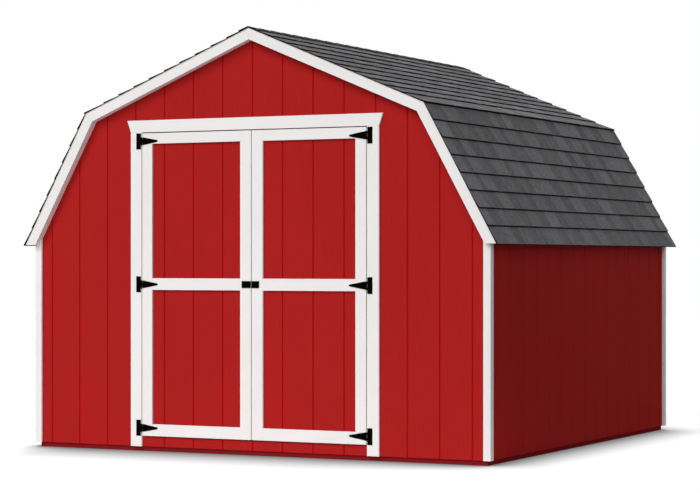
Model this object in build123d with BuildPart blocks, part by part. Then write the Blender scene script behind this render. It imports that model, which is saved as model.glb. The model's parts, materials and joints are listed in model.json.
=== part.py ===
from build123d import *
import os
from math import atan2, ceil, cos, degrees, hypot, sin, tan

# Gambrel barn shed, ten feet wide and ten feet deep, with a double door in its front gable.
# Millimetres. The front faces -Y, the ridge runs along Y, +Z is up.
# The origin is on the ground, under the middle of the building.

# Overall sizes
wall_width = 3048          # over the siding of the two side walls
wall_depth = 3048          # over the siding of the front and back gables
peak_height = 2540         # top of the roof deck at the ridge
knee_half_width = 1142     # top of the roof deck where the slope changes
knee_height = 2064
eave_half_width = 1590     # lower edge of the roof deck
eave_height = 1256

# Floor
rim_thickness = 38
rim_height = 89
joist_count = 7
deck_thickness = 18
deck_edge_gap = 6          # the deck is cut short of the rim face all round
deck_sheet_width = 1220    # rows of sheets, laid across the joists from the front
deck_sheet_gap = 3
deck_joint_joist = 2       # each row's end joint lies over this joist, counted from the middle

# Wall framing
lumber_thickness = 38
lumber_width = 89
side_stud_count = 6        # studs of a side wall, and frames of rafters over them
back_stud_count = 7
header_depth = 89
header_thickness = 76
cripple_spacing = 381

# Siding
siding_thickness = 11
siding_bottom = 29
groove_pitch = 203.2
groove_width = 9.5
groove_depth = 3

# Roof
roof_deck_thickness = 12
gusset_length = 250
gusset_thickness = 12
shingle_butt = 9           # thickness at the lower edge of a course
shingle_tail = 2           # thickness where the next course covers it
shingle_overhang = 6
knee_overhang = 10
lower_course_count = 8
knee_exposure = 143        # the lowest course of the upper slope shows more than the rest
upper_exposure = 117
ridge_cap_flap = 68
ridge_cap_thickness = 7    # caps that overlap by more than half
ridge_cap_gap = 0.3

# Rake boards at both gables
rake_width = 64
rake_board_thickness = 12
rake_filler_thickness = 38

# Corner boards
trim_thickness = 15
corner_width = 45

# Doorway and its trim
leaf_width = 755
leaf_bottom = 94
leaf_height = 1839
door_gap = 6               # running gap on every edge of a leaf
jamb_trim_width = 76
header_trim_height = 73
header_trim_flare = 25     # how far each end of the trim widens towards its top

# Door leaves
hinge_stile_width = 69
meeting_stile_width = 73
top_rail_width = 64
middle_rail_width = 71
bottom_rail_width = 72
middle_rail_height = 1017  # centre of the middle rail over the ground
back_frame_width = 64
back_frame_thickness = 38
back_frame_inset = 12
back_frame_clearance = 6   # over the floor deck

# Hinges
hinge_heights = (142, 1015, 1885)
pin_radius = 2.5
pin_clearance = 0.05
pin_offset = 6             # pin axis in front of the trim face
knuckle_radius = 5.5
barrel_length = 48
middle_knuckle_length = 19
knuckle_gap = 0.5
leaf_plate_setback = 6.5   # flat plates start this far from the pin axis
hinge_plate_width = 32
hinge_plate_height = 97
hinge_metal = 2.5
strap_length = 106
strap_tip_width = 12

# Latch
latch_height = 41
latch_metal = 4
latch_reach = {"left": 61, "right": 50}

# Joint line left between boards that meet in one trim or frame
joint_gap = 0.3

os.makedirs("parts", exist_ok=True)

# Derived places
half_width = wall_width / 2
half_depth = wall_depth / 2
frame_x = half_width - siding_thickness
frame_y = half_depth - siding_thickness
deck_top = rim_height + deck_thickness
plate_top = deck_top + lumber_thickness
rafter_top = roof_deck_thickness
rafter_bottom = roof_deck_thickness + lumber_width
rake_face = half_depth + rake_filler_thickness + rake_board_thickness
deck_end = half_depth + rake_filler_thickness
shingle_end = rake_face + shingle_overhang
opening_half = leaf_width + 1.5 * door_gap
opening_bottom = leaf_bottom - door_gap
opening_top = leaf_bottom + leaf_height + door_gap
trim_face = half_depth + trim_thickness
pin_x = opening_half - door_gap / 2
pin_y = -(trim_face + pin_offset)

upper_pitch = atan2(peak_height - knee_height, knee_half_width)
lower_pitch = atan2(knee_height - eave_height, eave_half_width - knee_half_width)


# Roof lines, on the right half of the gable.
# depth is measured square to a slope, down from the top of the roof deck.
def upper_z(x, depth):
    return peak_height - x * tan(upper_pitch) - depth / cos(upper_pitch)


def lower_z(x, depth):
    return knee_height - (x - knee_half_width) * tan(lower_pitch) - depth / cos(lower_pitch)


def lower_x(z, depth):
    return knee_half_width + (knee_height - z) / tan(lower_pitch) - depth / sin(lower_pitch)


def roof_z(x, depth):
    return min(upper_z(abs(x), depth), lower_z(abs(x), depth))


def knee_point(depth):
    rise = lower_z(0, depth) - upper_z(0, depth)
    x = rise / (tan(lower_pitch) - tan(upper_pitch))
    return (x, upper_z(x, depth))


def lower_slope_point(along, height):
    # along is measured up the slope from the eave, height square to it and outwards
    x = eave_half_width - along * cos(lower_pitch) + height * sin(lower_pitch)
    z = eave_height + along * sin(lower_pitch) + height * cos(lower_pitch)
    return (x, z)


def upper_slope_point(along, height):
    # along is measured up the slope from the knee
    x = knee_half_width - along * cos(upper_pitch) + height * sin(upper_pitch)
    z = knee_height + along * sin(upper_pitch) + height * cos(upper_pitch)
    return (x, z)


side_plate_top = lower_z(frame_x, rafter_top)
lower_slope_length = hypot(eave_half_width - knee_half_width, knee_height - eave_height)


# Planes: a profile on gable_plane(y) is extruded towards -Y, one on side_plane(x) towards +X
def gable_plane(y):
    return Plane.XZ.offset(-y)


def side_plane(x):
    return Plane.YZ.offset(x)


def outline(plane, points):
    # a closed flat face with straight sides
    with BuildSketch(plane) as shape:
        with BuildLine():
            Polyline(*points, close=True)
        make_face()
    return shape.sketch


def board(x_range, y_range, z_range):
    # one straight board in the open part, from its ends on each axis
    ranges = (x_range, y_range, z_range)
    with Locations(tuple(sum(pair) / 2 for pair in ranges)):
        Box(*(max(pair) - min(pair) for pair in ranges))


def groove_centres(low, high):
    # the sheets are grooved on one pitch, counted from the middle of the wall
    reach = int(max(abs(low), abs(high)) / groove_pitch) + 1
    centres = [step * groove_pitch for step in range(-reach, reach + 1)]
    return [centre for centre in centres if low + groove_width < centre < high - groove_width]


def cut_grooves(plane, low, high, bottom, top):
    # vertical grooves in the open part, drawn on a plane at their floor or their mouth
    with BuildSketch(plane) as grooves:
        for centre in groove_centres(low, high):
            with Locations((centre, (bottom + top) / 2)):
                Rectangle(groove_width, top - bottom)
    extrude(grooves.sketch, amount=groove_depth, mode=Mode.SUBTRACT)


def save(builder, name):
    builder.part.label = name
    export_step(builder.part, "parts/" + name + ".step")


# Floor frame and deck
with BuildPart() as floor_end_rims:
    board((-frame_x, frame_x), (-frame_y, -frame_y + rim_thickness), (0, rim_height))
    board((-frame_x, frame_x), (frame_y - rim_thickness, frame_y), (0, rim_height))
save(floor_end_rims, "floor_end_rims")

joist_end = frame_y - rim_thickness
with BuildPart() as floor_side_rims:
    board((frame_x - rim_thickness, frame_x), (-joist_end, joist_end), (0, rim_height))
    mirror(about=Plane.YZ)
save(floor_side_rims, "floor_side_rims")

joist_spacing = 2 * (frame_x - rim_thickness) / (joist_count + 1)
with BuildPart() as floor_joists:
    with BuildSketch():
        with GridLocations(joist_spacing, 0, joist_count, 1):
            Rectangle(lumber_thickness, 2 * joist_end)
    extrude(amount=rim_height)
save(floor_joists, "floor_joists")

# The deck is rows of sheets, and the end joints step from one side to the other
deck_x = frame_x - deck_edge_gap
deck_y = frame_y - deck_edge_gap
deck_rows = ceil(2 * deck_y / deck_sheet_width)
with BuildPart() as floor_deck:
    with BuildSketch(Plane.XY.offset(rim_height)):
        Rectangle(2 * deck_x, 2 * deck_y)
        for row in range(deck_rows):
            row_front = -deck_y + row * deck_sheet_width
            end_joint = joist_spacing * deck_joint_joist * (-1) ** row
            with Locations((end_joint, row_front + deck_sheet_width / 2)):
                Rectangle(deck_sheet_gap, deck_sheet_width, mode=Mode.SUBTRACT)
            if row > 0:
                with Locations((0, row_front)):
                    Rectangle(2 * deck_x, deck_sheet_gap, mode=Mode.SUBTRACT)
    extrude(amount=deck_thickness)
save(floor_deck, "floor_deck")

# Side wall plates and studs
with BuildPart() as side_wall_plates:
    side_band = (frame_x - lumber_width, frame_x)
    board(side_band, (-frame_y, frame_y), (deck_top, plate_top))
    board(side_band, (-frame_y, frame_y), (side_plate_top - lumber_thickness, side_plate_top))
    mirror(about=Plane.YZ)
save(side_wall_plates, "side_wall_plates")

side_stud_spacing = (2 * frame_y - lumber_thickness) / (side_stud_count - 1)
frame_places = [-frame_y + lumber_thickness / 2 + i * side_stud_spacing for i in range(side_stud_count)]
with BuildPart() as side_wall_studs:
    with BuildSketch(Plane.XY.offset(plate_top)):
        with Locations(*((frame_x - lumber_width / 2, y) for y in frame_places)):
            Rectangle(lumber_width, lumber_thickness)
    extrude(amount=side_plate_top - lumber_thickness - plate_top)
    mirror(about=Plane.YZ)
save(side_wall_studs, "side_wall_studs")

# Gable wall plates, studs and the beam over the doorway
gable_end = frame_x - lumber_width
jamb_stud_outer = opening_half + lumber_thickness
front_band = (-frame_y, -frame_y + lumber_width)
back_band = (frame_y - lumber_width, frame_y)
with BuildPart() as gable_wall_plates:
    board((-gable_end, -jamb_stud_outer), front_band, (deck_top, plate_top))
    board((jamb_stud_outer, gable_end), front_band, (deck_top, plate_top))
    board((-gable_end, gable_end), back_band, (deck_top, plate_top))
save(gable_wall_plates, "gable_wall_plates")


def gable_studs(centres, bottom, y_range):
    # studs with their tops cut to the underside of the rafters
    under_ridge = upper_z(lumber_thickness / 2, rafter_bottom)
    for centre in centres:
        left = centre - lumber_thickness / 2
        right = centre + lumber_thickness / 2
        left_top = min(roof_z(left, rafter_bottom), under_ridge)
        right_top = min(roof_z(right, rafter_bottom), under_ridge)
        points = [(left, bottom), (right, bottom), (right, right_top), (left, left_top)]
        extrude(outline(gable_plane(max(y_range)), points), amount=max(y_range) - min(y_range))


corner_stud = gable_end - lumber_thickness / 2
jamb_stud = opening_half + lumber_thickness / 2
middle_stud = (corner_stud + jamb_stud) / 2
header_top = opening_top + header_depth
back_spacing = 2 * corner_stud / (back_stud_count - 1)
with BuildPart() as gable_wall_studs:
    gable_studs((-jamb_stud, jamb_stud), deck_top, front_band)
    gable_studs((-corner_stud, -middle_stud, middle_stud, corner_stud), plate_top, front_band)
    gable_studs((-cripple_spacing, 0, cripple_spacing), header_top, front_band)
    gable_studs([-corner_stud + i * back_spacing for i in range(back_stud_count)], plate_top, back_band)
save(gable_wall_studs, "gable_wall_studs")

with BuildPart() as door_header_beam:
    beam_band = (-frame_y, -frame_y + header_thickness)
    board((-opening_half, opening_half), beam_band, (opening_top, header_top))
save(door_header_beam, "door_header_beam")

# Siding: grooved sheets cut to the gambrel outline at the gables
knee_x, knee_z = knee_point(rafter_top)
side_top = lower_z(half_width, rafter_top)


def gable_siding(points, y_range, face_plane, low, high, bottom):
    extrude(outline(gable_plane(max(y_range)), points), amount=siding_thickness)
    cut_grooves(face_plane, low, high, bottom, peak_height)


front_sheet = (-half_depth, -frame_y)
front_groove_plane = gable_plane(-half_depth + groove_depth)
for side, hand in ((-1, "left"), (1, "right")):
    with BuildPart() as front_siding_beside_door:
        beside_points = [
            (side * opening_half, siding_bottom),
            (side * half_width, siding_bottom),
            (side * half_width, side_top),
            (side * knee_x, knee_z),
            (side * opening_half, roof_z(opening_half, rafter_top)),
        ]
        ends = sorted((side * opening_half, side * half_width))
        gable_siding(beside_points, front_sheet, front_groove_plane, *ends, siding_bottom)
    save(front_siding_beside_door, "front_siding_" + hand)

with BuildPart() as front_siding_over_door:
    over_points = [
        (-opening_half, opening_top),
        (opening_half, opening_top),
        (opening_half, roof_z(opening_half, rafter_top)),
        (0, upper_z(0, rafter_top)),
        (-opening_half, roof_z(opening_half, rafter_top)),
    ]
    gable_siding(over_points, front_sheet, front_groove_plane, -opening_half, opening_half, opening_top)
save(front_siding_over_door, "front_siding_over_door")

with BuildPart() as front_siding_under_door:
    board((-opening_half, opening_half), front_sheet, (siding_bottom, opening_bottom))
    cut_grooves(front_groove_plane, -opening_half, opening_half, siding_bottom, opening_bottom)
save(front_siding_under_door, "front_siding_under_door")

with BuildPart() as back_siding:
    gambrel_points = [
        (-half_width, siding_bottom),
        (half_width, siding_bottom),
        (half_width, side_top),
        (knee_x, knee_z),
        (0, upper_z(0, rafter_top)),
        (-knee_x, knee_z),
        (-half_width, side_top),
    ]
    back_sheet = (frame_y, half_depth)
    gable_siding(gambrel_points, back_sheet, gable_plane(half_depth), -half_width, half_width, siding_bottom)
save(back_siding, "back_siding")

for side, hand in ((-1, "left"), (1, "right")):
    with BuildPart() as side_siding:
        sheet = sorted((side * frame_x, side * half_width))
        board(sheet, (-frame_y, frame_y), (siding_bottom, side_top))
        groove_start = half_width - groove_depth if side > 0 else -half_width
        cut_grooves(side_plane(groove_start), -frame_y, frame_y, siding_bottom, side_top)
    save(side_siding, hand + "_siding")

# Rafters, ridge board and gussets
half_ridge = lumber_thickness / 2
lower_rafter_points = [
    (lower_x(side_plate_top, rafter_top), side_plate_top),
    knee_point(rafter_top),
    knee_point(rafter_bottom),
    (lower_x(side_plate_top, rafter_bottom), side_plate_top),
]
upper_rafter_points = [
    knee_point(rafter_top),
    (half_ridge, upper_z(half_ridge, rafter_top)),
    (half_ridge, upper_z(half_ridge, rafter_bottom)),
    knee_point(rafter_bottom),
]


def frames(points, places, thickness):
    # one flat piece at each place along the building, and its twin on the other slope
    for y in places:
        extrude(outline(gable_plane(y + thickness / 2), points), amount=thickness)
    mirror(about=Plane.YZ)


with BuildPart() as lower_rafters:
    frames(lower_rafter_points, frame_places, lumber_thickness)
save(lower_rafters, "lower_rafters")

with BuildPart() as upper_rafters:
    frames(upper_rafter_points, frame_places, lumber_thickness)
save(upper_rafters, "upper_rafters")

ridge_points = [
    (-half_ridge, upper_z(half_ridge, rafter_bottom)),
    (half_ridge, upper_z(half_ridge, rafter_bottom)),
    (half_ridge, upper_z(half_ridge, rafter_top)),
    (0, upper_z(0, rafter_top)),
    (-half_ridge, upper_z(half_ridge, rafter_top)),
]
with BuildPart() as ridge_board:
    extrude(outline(gable_plane(frame_y), ridge_points), amount=2 * frame_y)
save(ridge_board, "ridge_board")

gusset_points = [
    knee_point(rafter_top),
    upper_slope_point(gusset_length, -rafter_top),
    upper_slope_point(gusset_length, -rafter_bottom),
    lower_slope_point(lower_slope_length - gusset_length, -rafter_bottom),
    lower_slope_point(lower_slope_length - gusset_length, -rafter_top),
]
gusset_offset = (lumber_thickness + gusset_thickness) / 2
with BuildPart() as knee_gussets:
    frames(gusset_points, [y + gusset_offset for y in frame_places[1:-1]], gusset_thickness)
save(knee_gussets, "knee_gussets")

# Roof decks, with a joint along the ridge
half_joint = joint_gap / 2
lower_deck_points = [
    (eave_half_width, eave_height),
    knee_point(0),
    knee_point(roof_deck_thickness),
    (lower_x(eave_height, roof_deck_thickness), eave_height),
]
upper_deck_points = [
    knee_point(0),
    (half_joint, upper_z(half_joint, 0)),
    (half_joint, upper_z(half_joint, roof_deck_thickness)),
    knee_point(roof_deck_thickness),
]


def roof_layer(points, end):
    # one flat layer along the whole building, on both slopes
    extrude(outline(gable_plane(end), points), amount=2 * end)
    mirror(about=Plane.YZ)


with BuildPart() as lower_roof_decks:
    roof_layer(lower_deck_points, deck_end)
save(lower_roof_decks, "lower_roof_decks")

with BuildPart() as upper_roof_decks:
    roof_layer(upper_deck_points, deck_end)
save(upper_roof_decks, "upper_roof_decks")


# Shingles: a saw-toothed profile, one tooth for each course
def course_teeth(slope_point, starts, end):
    points = []
    for start, stop in zip(starts, list(starts[1:]) + [end]):
        points.append(slope_point(start, shingle_butt))
        points.append(slope_point(stop, shingle_tail))
    return points


lower_exposure = lower_slope_length / lower_course_count
lower_starts = [-shingle_overhang] + [i * lower_exposure for i in range(1, lower_course_count)]
lower_end = lower_slope_length - shingle_tail / tan(lower_pitch - upper_pitch)
lower_teeth = course_teeth(lower_slope_point, lower_starts, lower_end)
with BuildPart() as lower_shingles:
    roof_layer([lower_slope_point(-shingle_overhang, 0), *lower_teeth, knee_point(0)], shingle_end)
save(lower_shingles, "lower_shingles")

ridge_start = (knee_half_width - half_joint) / cos(upper_pitch)
upper_end = ridge_start + shingle_tail * tan(upper_pitch)
cap_foot = knee_half_width / cos(upper_pitch) - ridge_cap_flap
full_courses = int((cap_foot - knee_exposure) / upper_exposure) + 1
upper_starts = [-knee_overhang] + [knee_exposure + i * upper_exposure for i in range(full_courses)]
upper_teeth = course_teeth(upper_slope_point, upper_starts, upper_end)
upper_ends = (upper_slope_point(-knee_overhang, 0), upper_slope_point(ridge_start, 0))
with BuildPart() as upper_shingles:
    roof_layer([upper_ends[0], *upper_teeth, upper_ends[1]], shingle_end)
save(upper_shingles, "upper_shingles")

# The cap lies on the last course of each slope, which gets thinner towards the ridge
last_start = upper_starts[-1]
share_at_foot = (cap_foot - last_start) / (upper_end - last_start)
foot_height = shingle_butt + share_at_foot * (shingle_tail - shingle_butt) + ridge_cap_gap
ridge_height = shingle_tail + ridge_cap_gap
cap_points = [
    (0, upper_z(0, -ridge_height)),
    upper_slope_point(cap_foot, foot_height),
    upper_slope_point(cap_foot, foot_height + ridge_cap_thickness),
    (0, upper_z(0, -ridge_height - ridge_cap_thickness)),
]
with BuildPart() as ridge_cap:
    roof_layer(cap_points, shingle_end)
save(ridge_cap, "ridge_cap")


# Rake boards and the fillers behind them, mitred at the knee and the ridge
def rake_band(top_depth, y_front, thickness):
    knee_top = knee_point(top_depth)
    knee_low = knee_point(rake_width)
    mitre_angle = degrees(atan2(knee_top[1] - knee_low[1], knee_top[0] - knee_low[0]))
    with BuildSketch(gable_plane(y_front + thickness)) as band:
        with BuildLine():
            Polyline(
                (half_joint, upper_z(half_joint, top_depth)),
                knee_top,
                (lower_x(eave_height, top_depth), eave_height),
                (lower_x(eave_height, rake_width), eave_height),
                knee_low,
                (half_joint, upper_z(half_joint, rake_width)),
                close=True,
            )
        make_face()
        with Locations(((knee_top[0] + knee_low[0]) / 2, (knee_top[1] + knee_low[1]) / 2)):
            Rectangle(2 * rake_width, joint_gap, rotation=mitre_angle, mode=Mode.SUBTRACT)
    extrude(band.sketch, amount=thickness)
    mirror(about=Plane.YZ)


with BuildPart() as front_rake_boards:
    rake_band(0, -rake_face, rake_board_thickness)
save(front_rake_boards, "front_rake_boards")

with BuildPart() as back_rake_boards:
    rake_band(0, deck_end, rake_board_thickness)
save(back_rake_boards, "back_rake_boards")

with BuildPart() as front_rake_fillers:
    rake_band(roof_deck_thickness, -deck_end, rake_filler_thickness)
save(front_rake_fillers, "front_rake_fillers")

with BuildPart() as back_rake_fillers:
    rake_band(roof_deck_thickness, half_depth, rake_filler_thickness)
save(back_rake_fillers, "back_rake_fillers")


# Corner boards: the gable boards cover the edges of the side boards
def under_rake(x):
    # the rake's lower edge, which is cut level at the eave
    return max(lower_z(x, rake_width), eave_height)


def gable_corner_boards(y_front):
    outer = half_width + trim_thickness
    inner = outer - corner_width
    rake_foot = lower_x(eave_height, rake_width)
    heel = [(rake_foot, eave_height)] if inner < rake_foot < outer else []
    points = [
        (inner, siding_bottom),
        (outer, siding_bottom),
        (outer, under_rake(outer)),
        *heel,
        (inner, under_rake(inner)),
    ]
    extrude(outline(gable_plane(y_front + trim_thickness), points), amount=trim_thickness)
    mirror(about=Plane.YZ)


with BuildPart() as front_corner_boards:
    gable_corner_boards(-trim_face)
save(front_corner_boards, "front_corner_boards")

with BuildPart() as back_corner_boards:
    gable_corner_boards(half_depth)
save(back_corner_boards, "back_corner_boards")

side_board_width = corner_width - trim_thickness
side_board_top = lower_z(half_width + trim_thickness, roof_deck_thickness)
with BuildPart() as side_corner_boards:
    side_board = (half_width, half_width + trim_thickness)
    board(side_board, (-half_depth, -half_depth + side_board_width), (siding_bottom, side_board_top))
    board(side_board, (half_depth - side_board_width, half_depth), (siding_bottom, side_board_top))
    mirror(about=Plane.YZ)
save(side_corner_boards, "side_corner_boards")

# Door trim
trim_band = (-trim_face, -half_depth)
jamb_outer = opening_half + jamb_trim_width
with BuildPart() as door_jamb_trims:
    board((opening_half, jamb_outer), trim_band, (siding_bottom, opening_top))
    mirror(about=Plane.YZ)
save(door_jamb_trims, "door_jamb_trims")

header_points = [
    (-jamb_outer, opening_top),
    (jamb_outer, opening_top),
    (jamb_outer + header_trim_flare, opening_top + header_trim_height),
    (-jamb_outer - header_trim_flare, opening_top + header_trim_height),
]
with BuildPart() as door_header_trim:
    extrude(outline(gable_plane(-half_depth), header_points), amount=trim_thickness)
save(door_header_trim, "door_header_trim")

# Tee hinge, drawn about its pin: the plate lies towards -X, the strap towards +X,
# and the trim face that both lie on is pin_offset towards +Y
middle_half = middle_knuckle_length / 2
outer_start = middle_half + knuckle_gap
outer_length = barrel_length / 2 - outer_start
metal_band = (pin_offset - hinge_metal, pin_offset)
with BuildPart() as hinge_plate:
    plate_outer = leaf_plate_setback + hinge_plate_width
    board((-plate_outer, -leaf_plate_setback), metal_band, (-hinge_plate_height / 2, hinge_plate_height / 2))
    for low in (outer_start, -outer_start - outer_length):
        board((-leaf_plate_setback, 0), metal_band, (low, low + outer_length))
        with BuildSketch(Plane.XY.offset(low)):
            Circle(knuckle_radius)
        extrude(amount=outer_length)
    with BuildSketch(Plane.XY.offset(-barrel_length / 2)):
        Circle(pin_radius)
    extrude(amount=barrel_length)

with BuildPart() as hinge_strap:
    tip_radius = strap_tip_width / 2
    tip_x = leaf_plate_setback + strap_length - tip_radius
    with BuildSketch(gable_plane(pin_offset)):
        with BuildLine():
            Polyline(
                (leaf_plate_setback, -barrel_length / 2),
                (tip_x, -tip_radius),
                (tip_x, tip_radius),
                (leaf_plate_setback, barrel_length / 2),
                close=True,
            )
        make_face()
        with Locations((tip_x, 0)):
            Circle(tip_radius)
    extrude(amount=hinge_metal)
    board((0, leaf_plate_setback), metal_band, (-middle_half, middle_half))
    with BuildSketch(Plane.XY.offset(-middle_half)):
        Circle(knuckle_radius)
    extrude(amount=middle_knuckle_length)
    with BuildSketch(Plane.XY.offset(-middle_half)):
        Circle(pin_radius + pin_clearance)
    extrude(amount=middle_knuckle_length, mode=Mode.SUBTRACT)

with BuildPart() as hinge_plates:
    with Locations(*((-pin_x, pin_y, height) for height in hinge_heights)):
        add(hinge_plate.part)
    mirror(about=Plane.YZ)
save(hinge_plates, "hinge_plates")

# Door leaves: a grooved panel, trim boards in front, framing boards behind
leaf_top = leaf_bottom + leaf_height
hinge_edge = opening_half - door_gap
meeting_edge = door_gap / 2
middle_rail_low = middle_rail_height - middle_rail_width / 2
middle_rail_high = middle_rail_height + middle_rail_width / 2
back_low = deck_top + back_frame_clearance
back_high = leaf_top - back_frame_inset
back_outer = hinge_edge - back_frame_inset
back_inner = meeting_edge + back_frame_inset
back_band_leaf = (-frame_y, -frame_y + back_frame_thickness)


def place_board(side, x_range, y_range, z_range):
    board(tuple(side * x for x in x_range), y_range, z_range)


def door_leaf(side, hand):
    with BuildPart() as panel:
        place_board(side, (meeting_edge, hinge_edge), front_sheet, (leaf_bottom, leaf_top))
        panel_ends = sorted((side * meeting_edge, side * hinge_edge))
        cut_grooves(front_groove_plane, *panel_ends, leaf_bottom, leaf_top)
    save(panel, hand + "_door_panel")

    with BuildPart() as trim:
        hinge_stile = hinge_edge - hinge_stile_width
        meeting_stile = meeting_edge + meeting_stile_width
        place_board(side, (hinge_stile, hinge_edge), trim_band, (leaf_bottom, leaf_top))
        place_board(side, (meeting_edge, meeting_stile), trim_band, (leaf_bottom, leaf_top))
        rail_span = (meeting_stile + joint_gap, hinge_stile - joint_gap)
        place_board(side, rail_span, trim_band, (leaf_top - top_rail_width, leaf_top))
        place_board(side, rail_span, trim_band, (middle_rail_low, middle_rail_high))
        place_board(side, rail_span, trim_band, (leaf_bottom, leaf_bottom + bottom_rail_width))
    save(trim, hand + "_door_trim")

    with BuildPart() as back_frame:
        outer_stile = back_outer - back_frame_width
        inner_stile = back_inner + back_frame_width
        place_board(side, (outer_stile, back_outer), back_band_leaf, (back_low, back_high))
        place_board(side, (back_inner, inner_stile), back_band_leaf, (back_low, back_high))
        rail_span = (inner_stile + joint_gap, outer_stile - joint_gap)
        half_rail = back_frame_width / 2
        place_board(side, rail_span, back_band_leaf, (back_high - back_frame_width, back_high))
        middle_band = (middle_rail_height - half_rail, middle_rail_height + half_rail)
        place_board(side, rail_span, back_band_leaf, middle_band)
        place_board(side, rail_span, back_band_leaf, (back_low, back_low + back_frame_width))
    save(back_frame, hand + "_door_back_frame")

    with BuildPart() as straps:
        with Locations(*((-pin_x, pin_y, height) for height in hinge_heights)):
            add(hinge_strap.part)
        if side > 0:
            mirror(about=Plane.YZ, mode=Mode.REPLACE)
    save(straps, hand + "_hinge_straps")

    with BuildPart() as latch:
        latch_band = (-trim_face - latch_metal, -trim_face)
        latch_end = meeting_edge + latch_reach[hand]
        latch_low = middle_rail_height - latch_height / 2
        place_board(side, (meeting_edge, latch_end), latch_band, (latch_low, latch_low + latch_height))
    save(latch, hand + "_latch_plate")


door_leaf(-1, "left")
door_leaf(1, "right")
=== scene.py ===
import bmesh
import bpy
import json
import numpy as np
from math import radians
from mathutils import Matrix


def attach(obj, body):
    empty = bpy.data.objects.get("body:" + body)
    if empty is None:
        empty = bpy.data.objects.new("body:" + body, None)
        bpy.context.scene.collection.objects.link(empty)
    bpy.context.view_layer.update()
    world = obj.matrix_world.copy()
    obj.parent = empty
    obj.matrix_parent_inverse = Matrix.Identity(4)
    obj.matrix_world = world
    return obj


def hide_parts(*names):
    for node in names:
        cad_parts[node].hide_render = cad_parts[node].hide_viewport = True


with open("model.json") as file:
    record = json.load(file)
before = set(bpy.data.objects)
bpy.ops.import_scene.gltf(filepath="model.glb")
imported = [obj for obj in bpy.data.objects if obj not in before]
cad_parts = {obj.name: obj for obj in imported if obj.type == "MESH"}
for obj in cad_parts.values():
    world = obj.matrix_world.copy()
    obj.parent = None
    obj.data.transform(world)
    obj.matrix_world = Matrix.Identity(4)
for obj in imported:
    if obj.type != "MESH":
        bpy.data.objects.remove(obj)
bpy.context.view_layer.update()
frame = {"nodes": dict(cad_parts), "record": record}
nodes = frame["nodes"]
bodyOf = {node: body for body, members in frame["record"]["behaviour"]["bodies"].items() for node in members}
slotOf = {part["node"]: part["material_slot"] for part in frame["record"]["subparts"]}
scene = bpy.context.scene
print("frame loaded:", len(nodes), "nodes")

# Camera: a long lens near eye level, to the right of the doors
photoView = {
    "place": (6.4960, -13.2395, 1.1646),
    "turn": 26.53,             # degrees, from straight at the front gable
    "lens": 115.86,            # mm, on a sensor 36 mm wide
    "sensor": 36.0,
    "shiftY": 0.0189,
    "farthest": 200.0,
}
cameraData = bpy.data.cameras.new("photoCamera")
cameraData.lens = photoView["lens"]
cameraData.sensor_width = photoView["sensor"]
cameraData.shift_y = photoView["shiftY"]
cameraData.clip_end = photoView["farthest"]
camera = bpy.data.objects.new("photoCamera", cameraData)
camera.location = photoView["place"]
camera.rotation_euler = (radians(90), 0, radians(photoView["turn"]))
scene.collection.objects.link(camera)
scene.camera = camera
scene.view_settings.view_transform = "Standard"


def linear(hexColour):
    # an sRGB hex colour as the linear values that shaders take
    srgb = np.array([int(hexColour[i:i + 2], 16) for i in (1, 3, 5)]) / 255
    return (*np.where(srgb <= 0.04045, srgb / 12.92, ((srgb + 0.055) / 1.055) ** 2.4).tolist(), 1.0)


def addNode(tree, kind, sockets=None, **settings):
    # adds one node: settings are its own properties, and a socket gets a value or a link
    made = tree.nodes.new(kind)
    for name, value in settings.items():
        setattr(made, name, value)
    for name, value in (sockets or {}).items():
        if isinstance(value, bpy.types.NodeSocket):
            tree.links.new(value, made.inputs[name])
        else:
            made.inputs[name].default_value = value
    return made


def startMaterial(name):
    material = bpy.data.materials.new(name)
    material.use_nodes = True
    tree = material.node_tree
    tree.nodes.clear()
    return material, tree


def endMaterial(tree, shader):
    addNode(tree, "ShaderNodeOutputMaterial", {"Surface": shader.outputs[0]})


noise = {
    "roughness": 0.55,
    "usual": (0.3, 0.7),       # nearly all values of the noise lie between these
}


def streaks(tree, vector, size, low=0.0, high=1.0, detail=3.0):
    # a noise pattern whose spots have the given size in metres on each axis, spread from low to high
    spread = addNode(tree, "ShaderNodeMapping", {"Vector": vector, "Scale": [1 / step for step in size]})
    sockets = {"Vector": spread.outputs[0], "Scale": 1.0, "Detail": detail, "Roughness": noise["roughness"]}
    spots = addNode(tree, "ShaderNodeTexNoise", sockets)
    least, most = noise["usual"]
    sockets = {"Value": spots.outputs[0], "From Min": least, "From Max": most, "To Min": low, "To Max": high}
    return addNode(tree, "ShaderNodeMapRange", sockets).outputs[0]


# Studio: a low and a high lamp at the left of the front, a wide one at its right and one behind, an even
# dome, and a floor that fades into the white, with a painted contact shadow around the shed
studio = {
    "dome": 0.16,
    "floorSize": 60.0,
    "floorColour": "#6e6e6e",
    "floorGlow": 0.95,
    "bounceInFront": "#e9e9e9",      # the floor as the shed's walls are lit by it, not as it is seen
    # painted shadow: the floor throws back less light at the right of the shed, for the shade the shed casts
    # there
    "bounceAtRight": "#909090",
    "bounceChange": (1.5, 2.1),      # the x between the two, in metres
    # metres of painted contact shadow on the floor towards the shed: at its left, in front and at its right
    "contactReach": (0.12, 0.75, 0.38),
    "leftChange": (-1.6, -1.25),     # the x between left and front, and between front and right
    "rightChange": (0.6, 1.55),
    "contactShade": 0.21,      # the darkest floor against the open floor
    "contactFrom": 0.5,        # the open share of the surroundings at which the floor is darkest
    "contactSamples": 32,
}
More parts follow.
